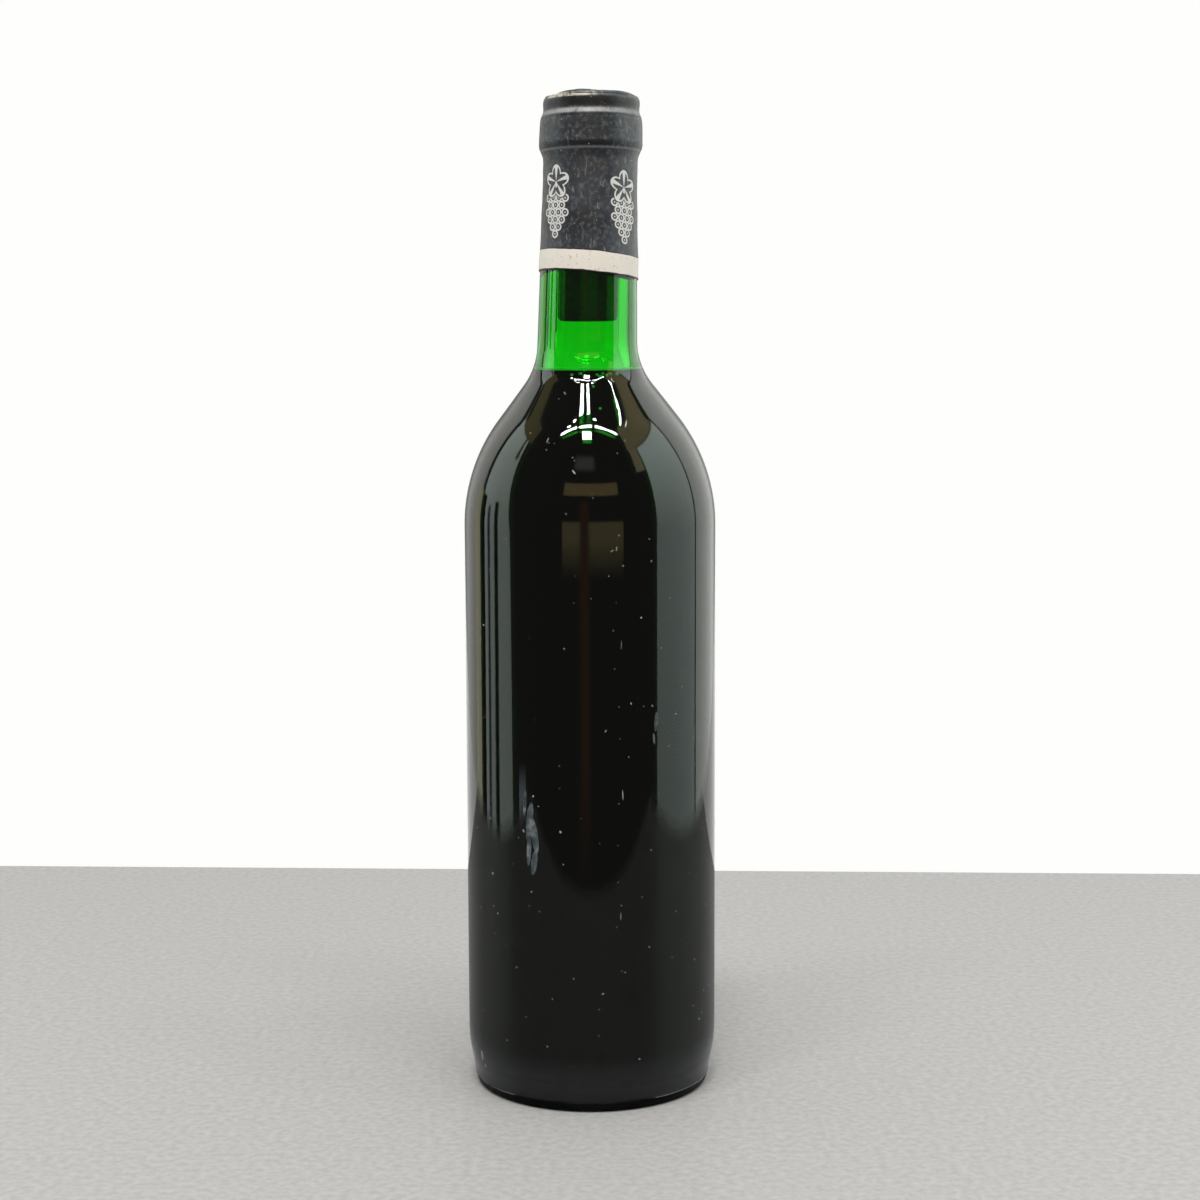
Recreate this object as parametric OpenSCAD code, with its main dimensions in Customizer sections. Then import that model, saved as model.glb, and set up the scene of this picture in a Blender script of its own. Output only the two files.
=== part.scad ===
// Corked 75 cl wine bottle: a tall straight body with high round shoulders, a slim
// neck with a collar, red wine up to the foot of the neck, a long cork, and a thin
// capsule drawn down over the collar and the upper neck.
// The origin is the centre of the ring that the bottle stands on, and +Z is up.
// The front is -Y: the capsule's lower edge is a little higher there.

/* [Glass] */
// Height of the glass, from the table to the top of the lip
bottle_h = 300; // [290:1:310]
// Diameter of the straight body
body_d = 76.5; // [74:0.5:80]
// Thickness of the body's wall
wall = 3; // [2.5:0.1:3.5]
// Thickness of the glass at the centre of the base
base_t = 6.5; // [5.5:0.5:8]
// Height of the hollow under the base
punt_h = 22; // [14:1:28]
// Height at which the shoulder starts
shoulder_z = 172.6; // [165:0.2:175]
// Radius of the shoulder's outer curve
shoulder_r = 53.4; // [52:0.2:54]
// Steepest angle of the shoulder, measured from upright
shoulder_slope = 37.5; // [37:0.1:38]

/* [Neck] */
// Diameter at the foot of the neck
neck_foot_d = 30.2; // [30:0.1:30.6]
// Diameter under the collar
neck_top_d = 27.8; // [27.4:0.1:28.2]
// Diameter of the collar
collar_d = 30.4; // [30:0.1:31]
// Diameter of the bore
bore_d = 18.5; // [18:0.1:19]

/* [Contents] */
// Height of the wine above the table
fill_z = 219.3; // [190:0.1:222]
// Length of the cork
cork_l = 66; // [45:1:67]

/* [Capsule] */
// Thickness of the capsule's skin
skin_t = 0.3; // [0.2:0.05:0.4]
// Height of the capsule's lower edge, at the bottle's axis
edge_z = 247.8; // [245:0.1:256]
// Slant of the lower edge, which is lower on the right
edge_slant = 5; // [0:0.5:6]
// Slant of the lower edge, which is higher at the front
edge_lift = 2; // [0:0.5:3]

/* [Hidden] */
$fn = 96;

body_r = body_d / 2;
bore_r = bore_d / 2;
neck_foot_r = neck_foot_d / 2;
neck_top_r = neck_top_d / 2;
collar_r = collar_d / 2;

// Heel: a wide curve, a short cone and a small corner down to the standing ring
heel_r = 36;
heel_angle = 11.5;
heel_z = 17;
corner_r = 1.6;
ring_w = 1.8;

// The curve between shoulder and neck, outside and in
blend_r = 21;
inner_blend_r = 26;
inner_r = body_r - wall;
inner_shoulder_r = shoulder_r - wall - 0.2;
inner_heel_r = 5.2;

// Heights of the collar's corners, counted down from the lip
lip_h = 4.6;
collar_top_h = 6.6;
collar_low_h = 13.8;
collar_end_h = 17.2;
lip_r = 14.15;
lip_round = 1.5;
mouth_round = 1;
collar_flare = 0.2;
// The collar's lower corner, a slant below its widest place
collar_slant_w = 0.7;
collar_slant_h = 1.2;

cork_chamfer = 1.1;

// The fold on top: its foot and its ridge, counted inwards from the lip's edge
fold_h = 0.9;
fold_angle = 130;
fold_turn = 175;
fold_foot = [1.4, 4.5];
fold_ridge = [1.7, 2.6];

steps = 10;

// Points of an arc about [cx, cz], from one angle to another
function arc(cx, cz, r, from, to, n = steps) =
    [for (i = [0 : n]) let (a = from + (to - from) * i / n) [cx + r * cos(a), cz + r * sin(a)]];

// The straight stretch's width, between a shoulder curve and the curve above it
function slope_run(r_low, curve_low, r_high, curve_high) =
    r_low - r_high - (curve_low + curve_high) * (1 - cos(shoulder_slope));

// Height at which the neck's curve ends, from the place where the shoulder's starts
function slope_end(r_low, curve_low, r_high, curve_high) =
    shoulder_z + (curve_low + curve_high) * sin(shoulder_slope)
    + slope_run(r_low, curve_low, r_high, curve_high) / tan(shoulder_slope);

// Shoulder from the body up to the neck: out over one curve, in over the other
function shoulder(r_low, curve_low, r_high, curve_high) = concat(
    arc(r_low - curve_low, shoulder_z, curve_low, 0, shoulder_slope),
    arc(r_high + curve_high, slope_end(r_low, curve_low, r_high, curve_high), curve_high,
        180 + shoulder_slope, 180));

// Height of the hollow under the base, at radius r of a hollow that is w wide
function punt(r, w) = punt_h * (1 + cos(180 * r / w)) / 2;

// Radius and height at which the heel's cone meets its curve
cone_top = [body_r - heel_r * (1 - cos(heel_angle)), heel_z - heel_r * sin(heel_angle)];
// Centre of the corner that is tangent to the cone and to the table
corner_x = cone_top[0] - (cone_top[1] - corner_r) * tan(heel_angle) - corner_r / cos(heel_angle);
ring_r = corner_x - ring_w;
inner_floor_r = inner_r - inner_heel_r;

// Outside of the glass from the standing ring to the underside of the collar
function outside() = concat(
    [for (i = [0 : steps]) let (r = ring_r * i / steps) [r, punt(r, ring_r)]],
    arc(corner_x, corner_r, corner_r, -90, -heel_angle, 5),
    arc(body_r - heel_r, heel_z, heel_r, -heel_angle, 0, 5),
    shoulder(body_r, shoulder_r, neck_foot_r, blend_r));

// Neck's top, collar and lip, which are t thicker where the capsule covers them
function finish(t) = [
    [neck_top_r + t, bottle_h - collar_end_h],
    [collar_r + collar_flare - collar_slant_w + t, bottle_h - collar_low_h - collar_slant_h],
    [collar_r + collar_flare + t, bottle_h - collar_low_h],
    [collar_r - collar_flare + t, bottle_h - collar_top_h],
    [lip_r + t, bottle_h - lip_h]];

function lip(t) =
    arc(lip_r - lip_round, bottle_h - lip_round, lip_round + t, 0, 90, 5);

// Inside of the glass, from the bore's mouth down to the middle of the floor
function mouth() = arc(bore_r + mouth_round, bottle_h - mouth_round, mouth_round, 90, 180, 4);

function inside_wall() = shoulder(inner_r, inner_shoulder_r, bore_r, inner_blend_r);

function inside_floor() = concat(
    [for (i = [0 : steps]) let (r = inner_floor_r * i / steps) [r, base_t + punt(r, inner_floor_r)]],
    arc(inner_floor_r, base_t + inner_heel_r, inner_heel_r, -90, 0, 6));

function reversed(list) = [for (i = [len(list) - 1 : -1 : 0]) list[i]];

// Everything that the bottle encloses, from the floor to the lip
module cavity_outline() {
    polygon(concat(inside_floor(), inside_wall(), [[bore_r, bottle_h], [0, bottle_h]]));
}

module bottle_glass() {
    color([0.10, 0.28, 0.12, 0.6])
        rotate_extrude()
            polygon(concat(outside(), finish(0), lip(0), mouth(),
                           reversed(inside_wall()), reversed(inside_floor())));
}

module wine() {
    color([0.10, 0.01, 0.02])
        rotate_extrude()
            intersection() {
                cavity_outline();
                square([body_r, fill_z]);
            }
}

module cork() {
    color([0.66, 0.49, 0.32])
        rotate_extrude()
            polygon([
                [0, bottle_h - cork_l],
                [bore_r - cork_chamfer, bottle_h - cork_l],
                [bore_r, bottle_h - cork_l + cork_chamfer],
                [bore_r, bottle_h - mouth_round],
                [bore_r - cork_chamfer / 2, bottle_h],
                [0, bottle_h]]);
}

// Height at which the neck's taper starts
neck_foot_z = slope_end(body_r, shoulder_r, neck_foot_r, blend_r);

// The skin is drawn down to this height, and then cut along its slanted edge
skin_spare = 1;
skin_low_z = edge_z - neck_foot_r * (tan(edge_slant) + tan(edge_lift)) - skin_spare;

// Radius of the neck's taper at height z
function neck_at(z) = neck_foot_r + (neck_top_r - neck_foot_r)
    * (z - neck_foot_z) / (bottle_h - collar_end_h - neck_foot_z);

// The skin: down over the lip, the collar and the neck, and flat across the cork
module skin_outline() {
    polygon(concat(
        [[0, bottle_h]],
        reversed(lip(0)),
        reversed(finish(0)),
        [[neck_at(skin_low_z), skin_low_z], [neck_at(skin_low_z) + skin_t, skin_low_z]],
        finish(skin_t),
        lip(skin_t),
        [[0, bottle_h + skin_t]]));
}

// The fold that the skin makes where its top is pressed down over the lip
module fold() {
    rotate([0, 0, fold_turn])
        rotate_extrude(angle = fold_angle)
            polygon([
                [lip_r - fold_foot[1], bottle_h + skin_t / 2],
                [lip_r - fold_foot[0], bottle_h + skin_t / 2],
                [lip_r - fold_ridge[0], bottle_h + fold_h],
                [lip_r - fold_ridge[1], bottle_h + skin_t + fold_h]]);
}

module capsule() {
    color([0.20, 0.21, 0.22])
        union() {
            difference() {
                rotate_extrude() skin_outline();
                translate([0, 0, edge_z])
                    rotate([-edge_lift, edge_slant, 0])
                        translate([0, 0, -body_r])
                            cube(body_d, center = true);
            }
            fold();
        }
}

bottle_glass();
wine();
cork();
capsule();
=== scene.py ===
"""Corked wine bottle: green glass, red wine, a long cork and a dark foil capsule.

Every size of the bottle is in millimetres until a mesh is made, where MM turns it into metres.
Its axis is Z, its front is -Y, and all heights are counted from the table.
"""

import logging
import math
import random
from dataclasses import dataclass
from enum import Enum
from typing import Callable, Sequence

import bpy
from mathutils import Matrix, Vector


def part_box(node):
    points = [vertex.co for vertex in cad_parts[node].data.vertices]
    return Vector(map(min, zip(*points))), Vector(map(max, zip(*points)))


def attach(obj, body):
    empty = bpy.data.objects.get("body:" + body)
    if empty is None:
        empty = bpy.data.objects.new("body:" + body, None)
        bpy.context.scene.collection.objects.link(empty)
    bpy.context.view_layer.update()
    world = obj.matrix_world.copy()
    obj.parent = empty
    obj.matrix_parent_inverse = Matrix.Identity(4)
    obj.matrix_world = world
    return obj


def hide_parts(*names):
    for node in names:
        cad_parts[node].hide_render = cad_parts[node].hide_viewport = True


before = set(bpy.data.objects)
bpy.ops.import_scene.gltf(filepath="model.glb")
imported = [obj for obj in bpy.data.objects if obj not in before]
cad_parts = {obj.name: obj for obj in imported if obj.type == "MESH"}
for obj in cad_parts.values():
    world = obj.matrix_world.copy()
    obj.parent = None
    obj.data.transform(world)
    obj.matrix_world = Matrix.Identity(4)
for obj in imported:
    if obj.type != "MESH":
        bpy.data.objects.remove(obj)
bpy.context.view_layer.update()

MM = 0.001
ROOT = "root"

# The blown neck is not quite true: it starts to bow here, leans from there on, and how much
SWAY_FROM = 204.0
SWAY_BOW = 228.0
BOW = -0.58
LEAN = 0.0215

# A closed end is a fan of triangles inside a circle of this radius
POLE_R = 0.4

log = logging.getLogger("wine_bottle")

Point = tuple[float, float]
Colour = tuple[float, float, float, float]
Tree = bpy.types.NodeTree
Source = bpy.types.NodeSocket | bpy.types.Node


# ---------------------------------------------------------------- measures and outlines


def box_mm(node: str) -> tuple[Vector, Vector]:
    """Lowest and highest corners of a CAD node, in millimetres."""
    low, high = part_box(node)
    return Vector(low) / MM, Vector(high) / MM


@dataclass(frozen=True)
class Measures:
    """Sizes that the frame fixes, in millimetres."""

    height: float
    body_r: float
    bore_r: float
    wine_z: float
    cork_z: float

    @classmethod
    def from_frame(cls) -> "Measures":
        """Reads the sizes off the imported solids."""
        glass, cork = box_mm("bottle_glass")[1], box_mm("cork")
        return cls(
            height=glass.z, body_r=glass.x, bore_r=cork[1].x, wine_z=box_mm("wine")[1].z, cork_z=cork[0].z
        )


def arc(centre: Point, radius: float, start: float, end: float, steps: int) -> list[Point]:
    """Points of an arc in the outline's plane.

    Args:
        centre: Radius and height of the arc's centre.
        radius: Radius of the arc.
        start: First angle in degrees, from outwards towards up.
        end: Last angle in degrees.
        steps: Number of stretches between the points.

    Returns:
        The points, both ends included.
    """
    angles = (math.radians(start + (end - start) * i / steps) for i in range(steps + 1))
    return [(centre[0] + radius * math.cos(a), centre[1] + radius * math.sin(a)) for a in angles]


def filled_in(points: Sequence[Point], longest: float) -> list[Point]:
    """Adds points so that no stretch of an outline is longer than a limit.

    Args:
        points: The outline's own points.
        longest: The limit.

    Returns:
        All the points.
    """
    full = [points[0]]
    for (x, z), after in zip(points, points[1:]):
        steps = max(1, math.ceil(math.dist((x, z), after) / longest))
        full += [(x + (after[0] - x) * i / steps, z + (after[1] - z) * i / steps) for i in range(1, steps)]
        full.append(after)
    return full


def sway(height: float) -> float:
    """How far the neck stands off the axis at a height: it bows left and leans to the right."""
    share = min(1.0, max(0.0, (height - SWAY_FROM) / (SWAY_BOW - SWAY_FROM)))
    bow = BOW * share * share * (3 - 2 * share)
    return bow + max(0.0, height - SWAY_BOW) * LEAN


# ---------------------------------------------------------------- modelling by hand


def deselect_all() -> None:
    """Clears the selection, so that an operator acts on one piece only."""
    bpy.ops.object.select_all(action="DESELECT")


def take_up(piece: bpy.types.Object) -> None:
    """Makes a piece the only selected and active one."""
    deselect_all()
    piece.select_set(True)
    bpy.context.view_layer.objects.active = piece


def select_places(piece: bpy.types.Object, wanted: Callable[[Vector], bool]) -> None:
    """Selects the vertices of a piece by their place.

    Args:
        piece: The piece, in object mode.
        wanted: Says whether a place in millimetres is to be selected.
    """
    mesh = piece.data
    mesh.polygons.foreach_set("select", [False] * len(mesh.polygons))
    mesh.edges.foreach_set("select", [False] * len(mesh.edges))
    mesh.vertices.foreach_set("select", [wanted(vertex.co / MM) for vertex in mesh.vertices])


def turned(name: str, outline: Sequence[Point], sides: int, ring: bool = False) -> bpy.types.Object:
    """Turns an outline about the bottle's axis into a closed piece.

    The first ring is a circle. Each further ring is extruded from the one before and scaled
    to its radius, and the two ends are filled, or bridged on a ring.

    Args:
        name: Name of the new piece.
        outline: Radii and heights, from one end of the surface to the other.
        sides: Number of vertices round each ring.
        ring: Joins the last ring to the first, where a ring-shaped piece needs no caps.

    Returns:
        The new piece.
    """
    deselect_all()
    radius, height = outline[0]
    first_place = (sway(height) * MM, 0, height * MM)
    bpy.ops.mesh.primitive_circle_add(vertices=sides, radius=radius * MM, location=first_place)
    piece = bpy.context.object
    bpy.ops.object.transform_apply(location=True, rotation=True, scale=True)
    bpy.ops.object.mode_set(mode="EDIT")
    bpy.ops.mesh.select_mode(type="VERT")
    bpy.ops.mesh.select_all(action="SELECT")
    for next_radius, next_height in outline[1:]:
        step = ((sway(next_height) - sway(height)) * MM, 0, (next_height - height) * MM)
        bpy.ops.mesh.extrude_edges_move(TRANSFORM_OT_translate={"value": step})
        grow = next_radius / radius
        centre = (sway(next_height) * MM, 0, next_height * MM)
        bpy.ops.transform.resize(value=(grow, grow, 1), center_override=centre)
        radius, height = next_radius, next_height
    if ring:
        bpy.ops.mesh.select_all(action="DESELECT")
        bpy.ops.mesh.select_non_manifold()
        bpy.ops.mesh.bridge_edge_loops()
    else:
        bpy.ops.mesh.select_all(action="SELECT")
        bpy.ops.mesh.fill_holes(sides=0)
        bpy.ops.mesh.select_all(action="DESELECT")
        bpy.ops.mesh.select_face_by_sides(number=sides, type="EQUAL")
        bpy.ops.mesh.poke()
    bpy.ops.mesh.select_all(action="SELECT")
    bpy.ops.mesh.normals_make_consistent(inside=False)
    bpy.ops.object.mode_set(mode="OBJECT")
    piece.name = piece.data.name = name
    return piece


def apply_modifiers(piece: bpy.types.Object) -> None:
    """Applies every modifier of a piece, in order."""
    take_up(piece)
    for modifier in list(piece.modifiers):
        bpy.ops.object.modifier_apply(modifier=modifier.name)


def shade(piece: bpy.types.Object, sharp_angle: float) -> None:
    """Shades a piece smooth, except at edges sharper than an angle in degrees."""
    take_up(piece)
    bpy.ops.object.shade_smooth_by_angle(angle=math.radians(sharp_angle))


@dataclass(frozen=True)
class Ripple:
    """Soft unevenness of a surface: its texture, size and depth in millimetres."""

    name: str
    size: float
    depth: float
    middle: float = 0.5

    def add_to(self, piece: bpy.types.Object) -> None:
        """Adds the unevenness as a displace modifier.

        Args:
            piece: The piece to make uneven.
        """
        texture = bpy.data.textures.new(self.name, "CLOUDS")
        texture.noise_scale = self.size * MM
        texture.noise_depth = 2
        modifier = piece.modifiers.new(self.name, "DISPLACE")
        modifier.texture = texture
        modifier.texture_coords = "LOCAL"
        modifier.strength = self.depth * MM
        modifier.mid_level = self.middle


@dataclass(frozen=True)
class Push:
    """One pull or dent made with proportional editing, in millimetres and degrees."""

    azimuth: float
    radius: float
    height: float
    move: tuple[float, float, float]
    reach: float

    def place(self) -> Vector:
        """Where the push is centred. Azimuth 0 is the front, and 90 is the right."""
        a = math.radians(self.azimuth)
        return Vector((self.radius * math.sin(a), -self.radius * math.cos(a), self.height))

    def shift(self) -> Vector:
        """The move in metres, from its outward, sideways and upward parts.

        Returns:
            The move along the axes.
        """
        a = math.radians(self.azimuth)
        outward, sideways, upward = self.move
        flat_x = outward * math.sin(a) + sideways * math.cos(a)
        flat_y = -outward * math.cos(a) + sideways * math.sin(a)
        return Vector((flat_x, flat_y, upward)) * MM

    def make(self, piece: bpy.types.Object) -> None:
        """Moves the vertex nearest to the push's place, and softly what is around it.

        Args:
            piece: The piece to push, in object mode.
        """
        place = self.place() * MM
        nearest = min(piece.data.vertices, key=lambda vertex: (vertex.co - place).length_squared)
        nearest_place = nearest.co / MM
        select_places(piece, lambda at: (at - nearest_place).length < 0.001)
        take_up(piece)
        bpy.ops.object.mode_set(mode="EDIT")
        bpy.ops.transform.translate(
            value=self.shift(),
            use_proportional_edit=True,
            proportional_edit_falloff="SMOOTH",
            proportional_size=self.reach * MM,
        )
        bpy.ops.object.mode_set(mode="OBJECT")


# ---------------------------------------------------------------- material helpers


class Op(Enum):
    """The sums that the patterns use."""

    ADD = "ADD"
    SUB = "SUBTRACT"
    MUL = "MULTIPLY"
    DIV = "DIVIDE"
    MIN = "MINIMUM"
    MAX = "MAXIMUM"
    ABS = "ABSOLUTE"
    LESS = "LESS_THAN"
    MORE = "GREATER_THAN"
    FLOOR = "FLOOR"
    MOD = "FLOORED_MODULO"
    ATAN2 = "ARCTAN2"
    COS = "COSINE"
    ROOT = "SQRT"


def srgb(code: str) -> Colour:
    """Turns an sRGB hex colour into linear light.

    Args:
        code: Six hex digits, such as "1a2b3c".

    Returns:
        Linear red, green and blue, and an alpha of 1.
    """
    parts = [int(code[i : i + 2], 16) / 255 for i in (0, 2, 4)]
    linear = [p / 12.92 if p <= 0.04045 else ((p + 0.055) / 1.055) ** 2.4 for p in parts]
    return (linear[0], linear[1], linear[2], 1.0)


def add(
    tree: Tree, kind: str | Op, inputs: dict[str | int, object] | Sequence[object] = (), **settings: object
) -> bpy.types.Node:
    """Adds a node with its settings, plain values and links.

    Args:
        tree: The node tree to add to.
        kind: Blender's name for the node's type, after its ShaderNode, or a maths node's sum.
        inputs: Values for the sockets, by name or number or simply in order. A value that
            is a socket, or a node, which stands for its first live output, is linked from.
        **settings: Attributes of the node itself.

    Returns:
        The new node.
    """
    if isinstance(kind, Op):
        kind, settings = "Math", {"operation": kind.value, **settings}
    node = tree.nodes.new("ShaderNode" + kind)
    for name, value in settings.items():
        setattr(node, name, value)
    for key, value in inputs.items() if isinstance(inputs, dict) else enumerate(inputs):
        if isinstance(value, bpy.types.Node):
            value = next(output for output in value.outputs if output.enabled)
        if isinstance(value, bpy.types.NodeSocket):
            tree.links.new(value, node.inputs[key])
        else:
            node.inputs[key].default_value = value
    return node


def set_stops(ramp: bpy.types.ColorRamp, stops: Sequence[tuple[float, Colour]]) -> None:
    """Gives a colour ramp its stops, lowest first.

    Args:
        ramp: The colour ramp.
        stops: Positions and their linear colours.
    """
    while len(ramp.elements) > 1:
        ramp.elements.remove(ramp.elements[-1])
    ramp.elements[0].position, ramp.elements[0].color = stops[0]
    for position, colour in stops[1:]:
        ramp.elements.new(position).color = colour


def length(tree: Tree, across: Source, up: Source) -> Source:
    """How far a point lies from the origin of its two coordinates."""
    squares = [add(tree, Op.MUL, (side, side)) for side in (across, up)]
    return add(tree, Op.ROOT, (add(tree, Op.ADD, squares),))


class Finish:
    """The look of one material."""

    name: str

    def shaders(self, tree: Tree) -> dict[str, Source]:
        """Adds the finish's nodes, and says which goes to which socket of the output."""
        raise NotImplementedError

    def build(self) -> bpy.types.Material:
        """Makes the material.

        Returns:
            The material, with all its nodes.
        """
        material = bpy.data.materials.new(self.name)
        material.use_nodes = True
        tree = material.node_tree
        tree.nodes.clear()
        add(tree, "OutputMaterial", self.shaders(tree))
        return material


# ---------------------------------------------------------------- finishes


@dataclass(frozen=True)
class BottleGreenGlass(Finish):
    """Chrome-green soda-lime bottle glass, blown in a mould and fire-polished.

    The eye sees a bright clear green where light passes through the empty neck, and a black
    mirror with sharp reflections where the dark wine stands behind it.
    """

    ior: float = 1.52
    surface: str = "f4fff4"
    red_per_mm: float = 0.60
    green_per_mm: float = 0.067
    blue_per_mm: float = 0.56
    name: str = "bottle_green_glass"

    def shaders(self, tree: Tree) -> dict[str, Source]:
        """Adds the finish's nodes.

        Args:
            tree: The material's node tree.

        Returns:
            What goes to the output's sockets.
        """
        glass = add(
            tree,
            "BsdfPrincipled",
            {
                "Base Color": srgb(self.surface),
                "Roughness": 0.0,
                "IOR": self.ior,
                "Transmission Weight": 1.0,
            },
        )
        # Density is that of the most absorbed colour; the colour is what share of it is spared
        most = max(self.red_per_mm, self.green_per_mm, self.blue_per_mm)
        spared = [1 - part / most for part in (self.red_per_mm, self.green_per_mm, self.blue_per_mm)]
        tint = add(tree, "VolumeAbsorption", {"Color": (*spared, 1.0), "Density": most / MM})
        return {"Surface": glass, "Volume": tint}


@dataclass(frozen=True)
class RedWine(Finish):
    """Red wine, so deep behind the glass that no light comes back through it.

    The eye sees black with a breath of red. Its mirror is only the faint one of the step
    from glass to wine, which is why its IOR is the ratio of the two. Its white top edge is
    a painted highlight, for the bright line at the meniscus.
    """

    wine_top_z: float
    deep: str = "120103"
    thin: str = "1d0206"
    # Painted highlight: white on the wine's top edge stands in for the bright line at the meniscus
    film: str = "ffffff"
    painted_rim_h: float = 0.6
    ior: float = 1.15
    roughness: float = 0.02
    cloud_mm: float = 40.0
    name: str = "red_wine"

    def shaders(self, tree: Tree) -> dict[str, Source]:
        """Adds the finish's nodes.

        Args:
            tree: The material's node tree.

        Returns:
            What goes to the output's sockets.
        """
        place = add(tree, "TexCoord").outputs["Object"]
        cloud = add(tree, "TexNoise", {"Vector": place, "Scale": 1 / (self.cloud_mm * MM), "Detail": 1.0})
        hue = add(tree, "ValToRGB", {"Fac": cloud})
        set_stops(hue.color_ramp, [(0.35, srgb(self.deep)), (0.65, srgb(self.thin))])
        height = add(tree, "SeparateXYZ", (place,)).outputs["Z"]
        # Painted highlight: the top edge of the wine turns white
        painted_rim_highlight = add(tree, Op.MORE, (height, (self.wine_top_z - self.painted_rim_h) * MM))
        whole = add(tree, "Mix", {0: painted_rim_highlight, "A": hue, "B": srgb(self.film)}, data_type="RGBA")
        wine = add(
            tree, "BsdfPrincipled", {"Base Color": whole, "Roughness": self.roughness, "IOR": self.ior}
        )
        return {"Surface": wine}


@dataclass(frozen=True)
class NaturalCork(Finish):
    """Punched natural cork.

    The eye sees warm brown with darker growth bands and small lens-shaped pores.
    """

    pore_mm: float = 1.6
    band_mm: float = 5.0
    name: str = "natural_cork"

    def shaders(self, tree: Tree) -> dict[str, Source]:
        """Adds the finish's nodes.

        Args:
            tree: The material's node tree.

        Returns:
            What goes to the output's sockets.
        """
        place = add(tree, "TexCoord").outputs["Object"]
        stretched = add(tree, "Mapping", {"Vector": place, "Scale": (1.0, 1.0, 0.45)})
        bands = add(
            tree, "TexNoise", {"Vector": stretched, "Scale": 1 / (self.band_mm * MM), "Detail": 6.0}
        )
        tone = add(tree, "ValToRGB", {"Fac": bands})
        set_stops(tone.color_ramp, [(0.30, srgb("150c07")), (0.50, srgb("28190e")), (0.70, srgb("3d2916"))])
        pores = add(
            tree, "TexVoronoi", {"Vector": stretched, "Scale": 1 / (self.pore_mm * MM), "Randomness": 1.0}
        )
        pit = add(tree, "MapRange", (pores, 0.12, 0.3))
        colour = add(tree, "Mix", {0: pit, "A": srgb("0f0805"), "B": tone}, data_type="RGBA")
        relief = add(tree, "Bump", {"Height": pit, "Strength": 0.6, "Distance": 0.25 * MM})
        cork = add(tree, "BsdfPrincipled", {"Base Color": colour, "Roughness": 0.85, "Normal": relief})
        return {"Surface": cork}


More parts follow.
